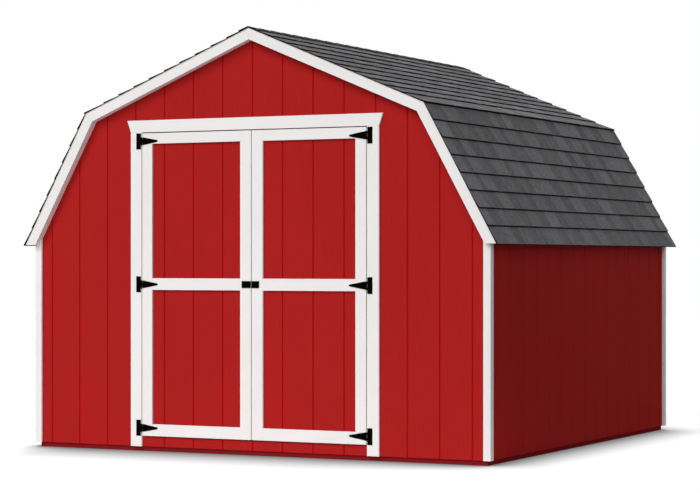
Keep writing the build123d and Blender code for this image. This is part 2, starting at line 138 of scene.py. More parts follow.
# comesFrom points from the shed to the lamp, and across is the lamp's width in degrees
lamps = {
    "lowLamp": {"comesFrom": (-0.25, -0.88, 0.40), "strength": 0.70, "across": 25},
    "highLamp": {"comesFrom": (-0.25, -0.66, 0.70), "strength": 1.44, "across": 25},
    "fillLamp": {"comesFrom": (0.55, -0.76, 0.34), "strength": 0.82, "across": 40},
    "backLamp": {"comesFrom": (-0.55, 0.80, 0.22), "strength": 1.2, "across": 40},
}
world = bpy.data.worlds.new("studioDome")
world.use_nodes = True
scene.world = world
worldTree = world.node_tree
worldTree.nodes.clear()
rays = addNode(worldTree, "ShaderNodeLightPath").outputs
sockets = {0: rays["Is Camera Ray"], 1: rays["Is Glossy Ray"]}
seen = addNode(worldTree, "ShaderNodeMath", sockets, operation="MAXIMUM")
sockets = {0: seen.outputs[0], 1: rays["Is Transmission Ray"]}
seen = addNode(worldTree, "ShaderNodeMath", sockets, operation="MAXIMUM")
dome = addNode(worldTree, "ShaderNodeBackground", {"Color": linear("#ffffff"), "Strength": studio["dome"]})
white = addNode(worldTree, "ShaderNodeBackground", {"Color": linear("#ffffff"), "Strength": 1.0})
sky = addNode(worldTree, "ShaderNodeMixShader", {0: seen.outputs[0], 1: dome.outputs[0], 2: white.outputs[0]})
addNode(worldTree, "ShaderNodeOutputWorld", {"Surface": sky.outputs[0]})

for name, lamp in lamps.items():
    lampData = bpy.data.lights.new(name, "SUN")
    lampData.energy = lamp["strength"]
    lampData.angle = radians(lamp["across"])
    lampObject = bpy.data.objects.new(name, lampData)
    # an unturned lamp shines straight down, so it is tipped back and then turned about the upright
    x, y, z = lamp["comesFrom"]
    lampObject.rotation_euler = (np.arctan2(np.hypot(x, y), z), 0, np.arctan2(x, -y))
    scene.collection.objects.link(lampObject)

floorMaterial, tree = startMaterial("paleFloor")
rays = addNode(tree, "ShaderNodeLightPath").outputs
place = addNode(tree, "ShaderNodeTexCoord").outputs["Object"]
across = addNode(tree, "ShaderNodeSeparateXYZ", {"Vector": place}).outputs["X"]
atLeft, inFront, atRight = studio["contactReach"]
start, end = studio["leftChange"]
sockets = {"Value": across, "From Min": start, "From Max": end, "To Min": atLeft, "To Max": inFront}
leftReach = addNode(tree, "ShaderNodeMapRange", sockets).outputs[0]
start, end = studio["rightChange"]
sockets = {"Value": across, "From Min": start, "From Max": end, "To Min": inFront, "To Max": atRight}
rightReach = addNode(tree, "ShaderNodeMapRange", sockets).outputs[0]
reach = addNode(tree, "ShaderNodeMath", {0: leftReach, 1: rightReach}, operation="MINIMUM").outputs[0]
# painted contact shadow: the floor as seen darkens as less of its surroundings is open, within a reach set
# along x
samples = studio["contactSamples"]
openShare = addNode(tree, "ShaderNodeAmbientOcclusion", {"Distance": reach}, samples=samples).outputs["AO"]
sockets = {"Value": openShare, "From Min": studio["contactFrom"], "To Min": studio["contactShade"]}
contact = addNode(tree, "ShaderNodeMapRange", sockets).outputs[0]
sockets = {"Color": linear(studio["floorColour"]), "Value": contact}
floorShown = addNode(tree, "ShaderNodeHueSaturation", sockets).outputs[0]
floorShown = addNode(tree, "ShaderNodeBsdfDiffuse", {"Color": floorShown})
glow = addNode(tree, "ShaderNodeMath", {0: contact, 1: studio["floorGlow"]}, operation="MULTIPLY")
floorGlow = addNode(tree, "ShaderNodeEmission", {"Color": linear("#ffffff"), "Strength": glow.outputs[0]})
floorShown = addNode(tree, "ShaderNodeAddShader", {0: floorShown.outputs[0], 1: floorGlow.outputs[0]})
start, end = studio["bounceChange"]
sockets = {"Value": across, "From Min": start, "From Max": end}
toRight = addNode(tree, "ShaderNodeMapRange", sockets).outputs[0]
sockets = {0: toRight, 6: linear(studio["bounceInFront"]), 7: linear(studio["bounceAtRight"])}
thrown = addNode(tree, "ShaderNodeMix", sockets, data_type="RGBA").outputs[2]
floorLit = addNode(tree, "ShaderNodeBsdfDiffuse", {"Color": thrown})
sockets = {0: rays["Is Camera Ray"], 1: rays["Is Glossy Ray"]}
seen = addNode(tree, "ShaderNodeMath", sockets, operation="MAXIMUM")
sockets = {0: seen.outputs[0], 1: floorLit.outputs[0], 2: floorShown.outputs[0]}
endMaterial(tree, addNode(tree, "ShaderNodeMixShader", sockets))

floorMesh = bpy.data.meshes.new("studioFloor")
half = studio["floorSize"] / 2
corners = [(-half, -half, 0), (half, -half, 0), (half, half, 0), (-half, half, 0)]
floorMesh.from_pydata(corners, [], [(0, 1, 2, 3)])
floorMesh.materials.append(floorMaterial)
studioFloor = bpy.data.objects.new("studioFloor", floorMesh)
scene.collection.objects.link(studioFloor)
print("camera and studio ready")

# Siding paint: flat acrylic on pressed wood panels. The eye sees a deep even red with faint upright
# grain. The floors of the grooves carry painted shade on the gables and painted light on the side
# walls. The back of the sheet is left bare.
sidingPaint = {
    "colour": "#a72020",
    "grooveColour": "#a60a0b",
    "sideGrooveColour": "#b62424",  # painted light: lighter than the sheets, to even out the real shade in the side walls' grooves
    "backColour": "#a98a63",
    "outerFace": 1.524,        # metres from the middle of the building to the face of the sheets
    "grooveDepth": 0.003,
    "sheetThickness": 0.011,
    "grooveFade": (0.0005, 0.002),   # over the floor of a groove, where its painted shade ends, and on the side walls its painted light
    "backFade": (0.0005, 0.0015),    # over the back of a sheet, where the bare board ends
    "grainSize": (0.0025, 0.0025, 0.11),
    "grainTone": (0.95, 1.05),
    "grainDepth": 0.00035,
    "cloudSize": (0.45, 0.45, 0.9),
    "cloudTone": (0.97, 1.03),
    "roughness": (0.54, 0.66),
    "specular": 0.01,
}
redSiding, tree = startMaterial("flatRedSidingPaint")
place = addNode(tree, "ShaderNodeTexCoord").outputs["Object"]
parts = addNode(tree, "ShaderNodeSeparateXYZ", {"Vector": place}).outputs
absX = addNode(tree, "ShaderNodeMath", {0: parts["X"]}, operation="ABSOLUTE").outputs[0]
absY = addNode(tree, "ShaderNodeMath", {0: parts["Y"]}, operation="ABSOLUTE").outputs[0]
outFrom = addNode(tree, "ShaderNodeMath", {0: absX, 1: absY}, operation="MAXIMUM").outputs[0]
grooveFloor = sidingPaint["outerFace"] - sidingPaint["grooveDepth"]
back = sidingPaint["outerFace"] - sidingPaint["sheetThickness"]
start, end = (grooveFloor + step for step in sidingPaint["grooveFade"])
sockets = {"Value": outFrom, "From Min": start, "From Max": end, "To Min": 1.0, "To Max": 0.0}
inGroove = addNode(tree, "ShaderNodeMapRange", sockets).outputs[0]
# painted shade for the grooves of the gables, and painted light for those of the side walls
onGable = addNode(tree, "ShaderNodeMath", {0: absY, 1: absX}, operation="GREATER_THAN").outputs[0]
sockets = {0: onGable, 6: linear(sidingPaint["sideGrooveColour"]), 7: linear(sidingPaint["grooveColour"])}
grooveShadeAndLight = addNode(tree, "ShaderNodeMix", sockets, data_type="RGBA").outputs[2]
start, end = (back + step for step in sidingPaint["backFade"])
sockets = {"Value": outFrom, "From Min": start, "From Max": end, "To Min": 1.0, "To Max": 0.0}
onBack = addNode(tree, "ShaderNodeMapRange", sockets).outputs[0]
grain = streaks(tree, place, sidingPaint["grainSize"], detail=4.0)
clouds = streaks(tree, place, sidingPaint["cloudSize"], *sidingPaint["cloudTone"], detail=2.0)
sockets = {0: inGroove, 6: linear(sidingPaint["colour"]), 7: grooveShadeAndLight}
red = addNode(tree, "ShaderNodeMix", sockets, data_type="RGBA").outputs[2]
red = addNode(tree, "ShaderNodeHueSaturation", {"Color": red, "Value": clouds}).outputs[0]
sockets = {0: onBack, 6: red, 7: linear(sidingPaint["backColour"])}
shown = addNode(tree, "ShaderNodeMix", sockets, data_type="RGBA").outputs[2]
least, most = sidingPaint["grainTone"]
grainTone = addNode(tree, "ShaderNodeMapRange", {"Value": grain, "To Min": least, "To Max": most}).outputs[0]
shown = addNode(tree, "ShaderNodeHueSaturation", {"Color": shown, "Value": grainTone}).outputs[0]
least, most = sidingPaint["roughness"]
rough = addNode(tree, "ShaderNodeMapRange", {"Value": grain, "To Min": least, "To Max": most}).outputs[0]
sockets = {"Strength": 1.0, "Distance": sidingPaint["grainDepth"], "Height": grain}
bump = addNode(tree, "ShaderNodeBump", sockets)
sockets = {
    "Base Color": shown,
    "Roughness": rough,
    "Specular IOR Level": sidingPaint["specular"],
    "Normal": bump.outputs[0],
}
endMaterial(tree, addNode(tree, "ShaderNodeBsdfPrincipled", sockets))


# Painted boards: the grain attribute runs along each board in x, in metres. Faint wide clouds lie under
# the brush strokes.
boardClouds = {
    "size": (0.5, 0.2, 0.2),
    "tone": (0.98, 1.02),
}


def paintedBoards(name, paint):
    material, tree = startMaterial(name)
    grainMap = addNode(tree, "ShaderNodeAttribute", attribute_name="grain").outputs["Vector"]
    strokes = streaks(tree, grainMap, (paint["strokeLength"], paint["strokeWidth"], paint["strokeWidth"]))
    clouds = streaks(tree, grainMap, boardClouds["size"], *boardClouds["tone"], detail=2.0)
    sockets = {"Color": linear(paint["colour"]), "Value": clouds}
    colour = addNode(tree, "ShaderNodeHueSaturation", sockets).outputs[0]
    tone = {"Value": strokes, "To Min": 1 - paint["strokeTone"], "To Max": 1 + paint["strokeTone"]}
    tone = addNode(tree, "ShaderNodeMapRange", tone).outputs[0]
    least, most = paint["roughness"]
    rough = {"Value": strokes, "To Min": least, "To Max": most}
    sockets = {"Strength": 1.0, "Distance": paint["strokeDepth"], "Height": strokes}
    bump = addNode(tree, "ShaderNodeBump", sockets)
    sockets = {
        "Base Color": addNode(tree, "ShaderNodeHueSaturation", {"Color": colour, "Value": tone}).outputs[0],
        "Roughness": addNode(tree, "ShaderNodeMapRange", rough).outputs[0],
        "Specular IOR Level": paint["specular"],
        "Normal": bump.outputs[0],
    }
    endMaterial(tree, addNode(tree, "ShaderNodeBsdfPrincipled", sockets))
    return material


# White acrylic on smooth primed boards: a soft satin white with brush strokes along each board
whiteTrim = paintedBoards("satinWhiteTrimPaint", {
    "colour": "#e8e6e5",
    "strokeLength": 0.16,
    "strokeWidth": 0.0016,
    "strokeTone": 0.012,
    "strokeDepth": 0.00012,
    "roughness": (0.40, 0.50),
    "specular": 0.15,
})
# Red paint on rough sawn lumber: flat, with coarse fibres showing through. It is darker than the siding,
# in part as painted shade of the recess under the siding and of the ground.
redRim = paintedBoards("flatRedRimPaint", {
    "colour": "#7e191e",
    "strokeLength": 0.09,
    "strokeWidth": 0.003,
    "strokeTone": 0.10,
    "strokeDepth": 0.0006,
    "roughness": (0.75, 0.85),
    "specular": 0.02,
})

# Kiln dried spruce: pale straw, with darker late wood lines along each board and a few brown knots
spruce = {
    "early": "#e3c594",
    "late": "#c08f55",
    "knot": "#6d4423",
    "ringWidth": 0.0045,
    "ringStretch": 0.05,       # the rings waver this much less along a board than across it
    "ringWaver": 3.0,
    "waverDetail": 0.12,
    "lateFrom": 0.35,          # the share of a ring that is pale early wood
    "knotsPerMetre": (2.0, 9.0, 9.0),
    "knotFade": (0.05, 0.11),  # shares of the knots' spacing
    "fibreSize": (0.05, 0.0007, 0.0007),
    "fibreTone": (0.9, 1.08),
    "fibreDepth": 0.0003,
    "roughness": 0.62,
    "specular": 0.3,
}
waveRepeat = 0.314             # units between two rings of the wave node at a scale of 1
lumber, tree = startMaterial("driedSpruce")
grainMap = addNode(tree, "ShaderNodeAttribute", attribute_name="grain").outputs["Vector"]
sockets = {"Vector": grainMap, "Scale": (spruce["ringStretch"], 1, 1)}
stretched = addNode(tree, "ShaderNodeMapping", sockets).outputs[0]
sockets = {
    "Vector": stretched,
    "Scale": waveRepeat / spruce["ringWidth"],
    "Distortion": spruce["ringWaver"],
    "Detail": 2.0,
    "Detail Scale": spruce["waverDetail"],
}
ringForm = {"wave_type": "RINGS", "rings_direction": "X", "wave_profile": "SAW"}
rings = addNode(tree, "ShaderNodeTexWave", sockets, **ringForm).outputs[1]
sockets = {"Value": rings, "From Min": spruce["lateFrom"], "From Max": 1.0}
lateWood = addNode(tree, "ShaderNodeMapRange", sockets).outputs[0]
fibres = streaks(tree, grainMap, spruce["fibreSize"], detail=2.0)
least, most = spruce["fibreTone"]
fibreTone = addNode(tree, "ShaderNodeMapRange", {"Value": fibres, "To Min": least, "To Max": most}).outputs[0]
spread = addNode(tree, "ShaderNodeMapping", {"Vector": grainMap, "Scale": spruce["knotsPerMetre"]}).outputs[0]
toKnot = addNode(tree, "ShaderNodeTexVoronoi", {"Vector": spread, "Scale": 1.0}).outputs["Distance"]
start, end = spruce["knotFade"]
sockets = {"Value": toKnot, "From Min": start, "From Max": end, "To Min": 1.0, "To Max": 0.0}
inKnot = addNode(tree, "ShaderNodeMapRange", sockets).outputs[0]
sockets = {0: lateWood, 6: linear(spruce["early"]), 7: linear(spruce["late"])}
wood = addNode(tree, "ShaderNodeMix", sockets, data_type="RGBA").outputs[2]
wood = addNode(tree, "ShaderNodeHueSaturation", {"Color": wood, "Value": fibreTone}).outputs[0]
sockets = {0: inKnot, 6: wood, 7: linear(spruce["knot"])}
wood = addNode(tree, "ShaderNodeMix", sockets, data_type="RGBA").outputs[2]
bump = addNode(tree, "ShaderNodeBump", {"Strength": 1.0, "Distance": spruce["fibreDepth"], "Height": fibres})
sockets = {
    "Base Color": wood,
    "Roughness": spruce["roughness"],
    "Specular IOR Level": spruce["specular"],
    "Normal": bump.outputs[0],
}
endMaterial(tree, addNode(tree, "ShaderNodeBsdfPrincipled", sockets))

# Fir plywood: wide wavering honey-coloured veneer figure on the faces
plywood = {
    "light": "#d9b27a",
    "dark": "#b98850",
    "figureSize": (0.9, 0.11, 0.5),
    "figureLines": 7.2,        # from the lowest to the highest place of the figure
    "lineFrom": 0.2,           # the share of a line's spacing that stays light
    "fibreSize": (0.04, 0.0008, 0.0008),
    "fibreTone": (0.9, 1.08),
    "fibreDepth": 0.0002,
    "roughness": 0.6,
    "specular": 0.3,
}
veneer, tree = startMaterial("sandedFirPlywood")
grainMap = addNode(tree, "ShaderNodeAttribute", attribute_name="grain").outputs["Vector"]
figure = streaks(tree, grainMap, plywood["figureSize"], 0.0, plywood["figureLines"], 2.0)
lines = addNode(tree, "ShaderNodeMath", {0: figure}, operation="FRACT").outputs[0]
sockets = {"Value": lines, "From Min": plywood["lineFrom"], "From Max": 1.0}
lines = addNode(tree, "ShaderNodeMapRange", sockets).outputs[0]
fibres = streaks(tree, grainMap, plywood["fibreSize"], detail=2.0)
least, most = plywood["fibreTone"]
fibreTone = addNode(tree, "ShaderNodeMapRange", {"Value": fibres, "To Min": least, "To Max": most}).outputs[0]
sockets = {0: lines, 6: linear(plywood["light"]), 7: linear(plywood["dark"])}
wood = addNode(tree, "ShaderNodeMix", sockets, data_type="RGBA").outputs[2]
wood = addNode(tree, "ShaderNodeHueSaturation", {"Color": wood, "Value": fibreTone}).outputs[0]
bump = addNode(tree, "ShaderNodeBump", {"Strength": 1.0, "Distance": plywood["fibreDepth"], "Height": fibres})
sockets = {
    "Base Color": wood,
    "Roughness": plywood["roughness"],
    "Specular IOR Level": plywood["specular"],
    "Normal": bump.outputs[0],
}
endMaterial(tree, addNode(tree, "ShaderNodeBsdfPrincipled", sockets))

# Black powder coat on pressed steel: nearly black, finely pebbled, with a dull broad highlight
powderCoat = {
    "colour": "#030303",
    "pebble": 0.0009,
    "pebbleTone": (0.85, 1.15),
    "pebbleDepth": 0.00006,
    "roughness": 0.5,
    "specular": 0.01,
}
blackCoat, tree = startMaterial("blackPowderCoat")
place = addNode(tree, "ShaderNodeTexCoord").outputs["Object"]
pebbles = streaks(tree, place, [powderCoat["pebble"]] * 3, detail=2.0)
least, most = powderCoat["pebbleTone"]
sockets = {"Value": pebbles, "To Min": least, "To Max": most}
pebbleTone = addNode(tree, "ShaderNodeMapRange", sockets).outputs[0]
sockets = {"Color": linear(powderCoat["colour"]), "Value": pebbleTone}
coat = addNode(tree, "ShaderNodeHueSaturation", sockets).outputs[0]
sockets = {"Strength": 1.0, "Distance": powderCoat["pebbleDepth"], "Height": pebbles}
bump = addNode(tree, "ShaderNodeBump", sockets)
sockets = {
    "Base Color": coat,
    "Roughness": powderCoat["roughness"],
    "Specular IOR Level": powderCoat["specular"],
    "Normal": bump.outputs[0],
}
endMaterial(tree, addNode(tree, "ShaderNodeBsdfPrincipled", sockets))

# Asphalt shingles: charcoal mineral granules on black bitumen. Each tab has its own tone, some warmer
# and some cooler, rain has left faint streaks down the slope, the cut edges are bare bitumen, and a
# band of painted shade, as black as the bitumen, lies on each course just below the next one's butt.
shingleLook = {
    "warm": "#7d7c7b",
    "cool": "#7b7b80",
    "bitumen": "#0e0e0f",
    "granule": 0.0035,         # real granules are 1.5 mm, too fine to show, so these are coarser
    "granuleTone": (0.62, 1.38),
    "granuleDepth": 0.0008,
    "granuleStrength": 0.7,
    "patchSize": (0.05, 0.05, 0.05),
    "patchTone": (0.89, 1.11),
    "rainSize": (0.5, 0.014, 0.5),
    "rainTone": (0.94, 1.06),
    "lineFade": (0.0054, 0.009),     # metres below the next course over which the painted shade line ends
    "lineStrength": 0.9,
    "cutTone": (0.05, 0.1),    # faces of a lower tone are bare bitumen
    "roughness": 0.9,
    "specular": 0.03,
}
shingle, tree = startMaterial("charcoalAsphaltShingle")
place = addNode(tree, "ShaderNodeTexCoord").outputs["Object"]
tone = addNode(tree, "ShaderNodeAttribute", attribute_name="tone").outputs["Fac"]
warmth = addNode(tree, "ShaderNodeAttribute", attribute_name="warmth").outputs["Fac"]
fall = addNode(tree, "ShaderNodeAttribute", attribute_name="fall").outputs["Fac"]
sockets = {"Vector": place, "Scale": [1 / shingleLook["granule"]] * 3}
spread = addNode(tree, "ShaderNodeMapping", sockets).outputs[0]
granules = addNode(tree, "ShaderNodeTexVoronoi", {"Vector": spread, "Scale": 1.0})
grit = addNode(tree, "ShaderNodeSeparateColor", {"Color": granules.outputs["Color"]}).outputs[0]
least, most = shingleLook["granuleTone"]
grit = addNode(tree, "ShaderNodeMapRange", {"Value": grit, "To Min": least, "To Max": most}).outputs[0]
patches = streaks(tree, place, shingleLook["patchSize"], *shingleLook["patchTone"])
rain = streaks(tree, place, shingleLook["rainSize"], *shingleLook["rainTone"], detail=2.0)
sockets = {0: warmth, 6: linear(shingleLook["cool"]), 7: linear(shingleLook["warm"])}
grey = addNode(tree, "ShaderNodeMix", sockets, data_type="RGBA").outputs[2]
for factor in (grit, patches, rain, tone):
    grey = addNode(tree, "ShaderNodeHueSaturation", {"Color": grey, "Value": factor}).outputs[0]
start, end = shingleLook["lineFade"]
strength = shingleLook["lineStrength"]
sockets = {"Value": fall, "From Min": start, "From Max": end, "To Min": strength, "To Max": 0.0}
inShadeLine = addNode(tree, "ShaderNodeMapRange", sockets).outputs[0]
start, end = shingleLook["cutTone"]
sockets = {"Value": tone, "From Min": start, "From Max": end, "To Min": 1.0, "To Max": 0.0}
onCut = addNode(tree, "ShaderNodeMapRange", sockets).outputs[0]
onCutAndShade = addNode(tree, "ShaderNodeMath", {0: inShadeLine, 1: onCut}, operation="MAXIMUM").outputs[0]
# the cut faces are bitumen, and the painted shade line takes the same black
sockets = {0: onCutAndShade, 6: grey, 7: linear(shingleLook["bitumen"])}
grey = addNode(tree, "ShaderNodeMix", sockets, data_type="RGBA").outputs[2]
sockets = {
    "Strength": shingleLook["granuleStrength"],
    "Distance": shingleLook["granuleDepth"],
    "Height": granules.outputs["Distance"],
}
bump = addNode(tree, "ShaderNodeBump", sockets)
sockets = {
    "Base Color": grey,
    "Roughness": shingleLook["roughness"],
    "Specular IOR Level": shingleLook["specular"],
    "Normal": bump.outputs[0],
}
endMaterial(tree, addNode(tree, "ShaderNodeBsdfPrincipled", sockets))
print("materials ready")


# New pieces
def addPiece(name, mesh, material, body, slot, *replaced):
    mesh.materials.clear()
    mesh.materials.append(material)
    piece = bpy.data.objects.new(name, mesh)
    scene.collection.objects.link(piece)
    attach(piece, body)
    if replaced:
        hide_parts(*replaced)


def faceOutwards(mesh):
    work = bmesh.new()
    work.from_mesh(mesh)
    bmesh.ops.recalc_face_normals(work, faces=work.faces)
    work.to_mesh(mesh)
    work.free()


def camelName(name):
    first, *rest = name.split("_")
    return first + "".join(word.capitalize() for word in rest)


def boardNumbers(edges, count):
    # every point takes the lowest number among the points it is joined to, until nothing changes
    number = np.arange(count)
    while True:
        before = number.copy()
        low = np.minimum(number[edges[:, 0]], number[edges[:, 1]])
        np.minimum.at(number, edges[:, 0], low)
        np.minimum.at(number, edges[:, 1], low)
        if np.array_equal(before, number):
            return np.unique(number, return_inverse=True)[1]


boards = {
    "joinWithin": 1e-5,        # points this near each other are one, in metres
    "flatWithin": 0.5,         # faces that meet at less than this many degrees are one
    "sharpFrom": 35.0,         # edges of more degrees than this are eased
    "segments": 2,
    "grainFrom": (-5, 0.03, 0.03),   # each board's grain is moved by a step between these two, in metres
    "grainTo": (5, 0.12, 0.12),
    "seed": 11,
}


def mapGrain(mesh, rng):
    # grain of a point = its distances from the middle of its own board along the three main
    # directions of the board, longest first, moved by a random step so that no two boards match
    points = np.empty(len(mesh.vertices) * 3)
    mesh.vertices.foreach_get("co", points)
    points = points.reshape(-1, 3)
    edges = np.empty(len(mesh.edges) * 2, int)
    mesh.edges.foreach_get("vertices", edges)
    number = boardNumbers(edges.reshape(-1, 2), len(points))
    grain = np.empty_like(points)
    for board in range(number.max() + 1):
        own = number == board
        centred = points[own] - points[own].mean(0)
        directions = np.linalg.svd(centred, full_matrices=False)[2]
        grain[own] = centred @ directions.T + rng.uniform(boards["grainFrom"], boards["grainTo"])
    mesh.attributes.new("grain", "FLOAT_VECTOR", "POINT").data.foreach_set("vector", grain.ravel())


def easedCopy(nodeName, material, ease, rng):
    # the CAD shape with its loose triangles joined into flat faces and its sharp edges eased
    mesh = bpy.data.meshes.new(camelName(nodeName))
    shape = bmesh.new()
    shape.from_mesh(nodes[nodeName].data)
    bmesh.ops.remove_doubles(shape, verts=shape.verts, dist=boards["joinWithin"])
    flat, steep = radians(boards["flatWithin"]), radians(boards["sharpFrom"])
    bmesh.ops.dissolve_limit(shape, angle_limit=flat, verts=shape.verts, edges=shape.edges)
    sharp = [edge for edge in shape.edges if edge.is_convex and edge.calc_face_angle(0) > steep]
    rounding = {"segments": boards["segments"], "profile": 0.5, "affect": "EDGES", "clamp_overlap": True}
    bmesh.ops.bevel(shape, geom=sharp, offset=ease, **rounding)
    shape.to_mesh(mesh)
    shape.free()
    mapGrain(mesh, rng)
    addPiece(mesh.name, mesh, material, bodyOf[nodeName], slotOf[nodeName], nodeName)


# What the boards and hardware of each slot are made of, and how far their edges are eased, in metres
finishes = {
    "white_trim": (whiteTrim, 0.0008),
    "red_rim_paint": (redRim, 0.003),
    "framing_lumber": (lumber, 0.003),
    "plywood": (veneer, 0.0004),
    "black_hardware": (blackCoat, 0.0005),
}
rng = np.random.default_rng(boards["seed"])
for nodeName in sorted(nodes):
    slot = slotOf[nodeName]
    if slot in finishes:
        easedCopy(nodeName, *finishes[slot], rng)
    elif slot == "red_siding":
        nodes[nodeName].data.materials.clear()
        nodes[nodeName].data.materials.append(redSiding)
print("boards ready")


# Shingles
roof = {
    "eave": (1.590, 1.256),    # x and z of the deck's corners, in metres
    "knee": (1.142, 2.064),
    "peak": (0.0, 2.540),
    "end": 1.580,              # the shingles run from -end to end along the ridge
    "atEnd": 1e-6,             # what lies this near the end is flush with it
}
shingles = {
    "butt": 0.009,             # height over the deck at the lower edge of a course
    "tail": 0.002,             # height where the next course covers it
    "baseShare": 0.80,         # the base layer is this share of the height, and raised tabs the rest
    "eaveOverhang": 0.006,
    "kneeOverhang": 0.010,
    "lowerCourses": 8,
    "kneeExposure": 0.143,
    "upperExposure": 0.117,
    "ridgeJoint": 0.00015,     # half the gap that the two slopes leave at the ridge
    "stripLength": 1.0,
    "firstStrip": (0.2, 1.0),  # shares of a strip's length
    "shortestStrip": 0.1,
    "tabWidth": (0.08, 0.22),
    "tabWander": 0.004,        # how far a tab's upper corners stray along the ridge
    "slotWidth": (0.05, 0.16),
    "slotChance": 0.8,
    "baseTone": (0.77, 0.93),
    "tabTone": (0.88, 1.19),
    "sideShade": 0.45,         # the cut side of a tab against its face
    "seed": 5,
}
ridgeCap = {
    "flap": 0.068,
    "exposure": 0.1436,
    "clearance": 0.0003,       # over the last course
    "butt": 0.006,
    "tail": 0.0035,
    "bendRadius": 0.006,
    "bendPoints": 7,
    "tone": (0.38, 0.48),
    "seed": 3,
}


def wedges(section, along, spans, tails, tones, warmths):
    # closed wedges: the section's four corners are (distance up the slope, height over it), and each
    # wedge spans its own two places along the ridge at the lower edge and at the upper edge
    origin, direction, normal = along
    section = np.array(section)
    flat = origin + section[:, :1] * direction + section[:, 1:] * normal
    count = len(spans)
    points = np.empty((count, 2, 4, 3))
    points[..., 0] = flat[:, 0]
    points[..., 2] = flat[:, 1]
    atLower = np.array([1.0, 1.0, 0.0, 0.0])
    for end in (0, 1):
        points[:, end, :, 1] = spans[:, end, None] * atLower + tails[:, end, None] * (1 - atLower)
    faces = np.array([(0, 1, 2, 3), (7, 6, 5, 4), (4, 5, 1, 0), (5, 6, 2, 1), (6, 7, 3, 2), (7, 4, 0, 3)])
    faces = faces[None] + 8 * np.arange(count)[:, None, None]
    atRake = abs(spans) > roof["end"] - roof["atEnd"]
    shade = np.zeros((count, 6))
    shade[:, :2] = np.where(atRake, 0.0, shingles["sideShade"] * tones[:, None])
    shade[:, 3] = tones
    fall = np.broadcast_to(section[2, 0] - section[:, 0], (count, 2, 4))
    return points.reshape(-1, 3), faces.reshape(-1, 4), shade.ravel(), np.repeat(warmths, 6), fall.ravel()


def joinShapes(name, shapes):
    # one mesh of all the closed shapes, each given as (points, faces, tones, warmths, falls)
    mesh = bpy.data.meshes.new(name)
    offsets = np.cumsum([0] + [len(shape[0]) for shape in shapes[:-1]])
    points, faces, tones, warmths, falls = (np.concatenate(rows) for rows in zip(*(
        (shape[0], shape[1] + offset, *shape[2:]) for shape, offset in zip(shapes, offsets))))
    mesh.from_pydata(points.tolist(), [], faces.tolist())
    mesh.attributes.new("tone", "FLOAT", "FACE").data.foreach_set("value", tones)
    mesh.attributes.new("warmth", "FLOAT", "FACE").data.foreach_set("value", warmths)
    mesh.attributes.new("fall", "FLOAT", "POINT").data.foreach_set("value", falls)
    faceOutwards(mesh)
    return mesh


def courseSpans(rng):
    # cuts a course into the strips of its base layer, and into raised tabs with slots between them:
    # returns both as (start, end) places along the ridge
    first = -roof["end"] + rng.uniform(*shingles["firstStrip"]) * shingles["stripLength"]
    cuts = np.arange(first, roof["end"], shingles["stripLength"])
    cuts = cuts[abs(cuts) < roof["end"] - shingles["shortestStrip"]]
    strips = np.stack([np.append(-roof["end"], cuts), np.append(cuts, roof["end"])], 1)
    tabs = []
    place = -roof["end"]
    while place < roof["end"]:
        width = rng.uniform(*shingles["tabWidth"])
        tabs.append((place, min(place + width, roof["end"])))
        place += width + rng.uniform(*shingles["slotWidth"]) * (rng.random() < shingles["slotChance"])
    return strips, np.array(tabs)


def shingleSlope(low, high, starts, stopTop, stopBottom, side, rng):
    # every course of one slope: a base layer in strips, and raised tabs on it
    low, high = np.array(low), np.array(high)
    direction = (high - low) / np.linalg.norm(high - low)
    normal = np.array([direction[1], -direction[0]])
    flip = np.array([side, 1.0])
    along = (low * flip, direction * flip, normal * flip)
    butt, tail, share = shingles["butt"], shingles["tail"], shingles["baseShare"]
    shapes = []
    for start, stop in zip(starts, [*starts[1:], None]):
        top, bottom = (stop, stop) if stop is not None else (stopTop, stopBottom)
        strips, tabs = courseSpans(rng)
        section = [(start, 0), (start, share * butt), (top, share * tail), (bottom, 0)]
        tones = rng.uniform(*shingles["baseTone"], len(strips))
        shapes.append(wedges(section, along, strips, strips, tones, rng.random(len(strips))))
        section = [(start, share * butt), (start, butt), (top, tail), (top, share * tail)]
        wander = rng.uniform(-shingles["tabWander"], shingles["tabWander"], tabs.shape)
        tails = np.clip(tabs + wander, -roof["end"], roof["end"])
        tones = rng.uniform(*shingles["tabTone"], len(tabs))
        shapes.append(wedges(section, along, tabs, tails, tones, rng.random(len(tabs))))
    return shapes


rng = np.random.default_rng(shingles["seed"])
lowerSlope = np.subtract(roof["knee"], roof["eave"])
upperSlope = np.subtract(roof["peak"], roof["knee"])
lowerLength, upperLength = np.linalg.norm(lowerSlope), np.linalg.norm(upperSlope)
lowerPitch = np.arctan2(lowerSlope[1], -lowerSlope[0])
upperPitch = np.arctan2(upperSlope[1], -upperSlope[0])
lowerStarts = [-shingles["eaveOverhang"]]
lowerStarts += [i * lowerLength / shingles["lowerCourses"] for i in range(1, shingles["lowerCourses"])]
lowerStop = lowerLength - shingles["tail"] / np.tan(lowerPitch - upperPitch)
ridgeStop = upperLength - shingles["ridgeJoint"] / np.cos(upperPitch)
capFoot = upperLength - ridgeCap["flap"]
upperStarts = [-shingles["kneeOverhang"]]
upperStarts += list(np.arange(shingles["kneeExposure"], capFoot, shingles["upperExposure"]))
upperStop = ridgeStop + shingles["tail"] * np.tan(upperPitch)
lowerShapes, upperShapes = [], []
for side in (-1, 1):
    lowerShapes += shingleSlope(roof["eave"], roof["knee"], lowerStarts, lowerStop, lowerLength, side, rng)
    upperShapes += shingleSlope(roof["knee"], roof["peak"], upperStarts, upperStop, ridgeStop, side, rng)
lowerMesh = joinShapes("lowerShingles", lowerShapes)
addPiece("lowerShingles", lowerMesh, shingle, "shed", "shingles", "lower_shingles")
upperMesh = joinShapes("upperShingles", upperShapes)
addPiece("upperShingles", upperMesh, shingle, "shed", "shingles", "upper_shingles")


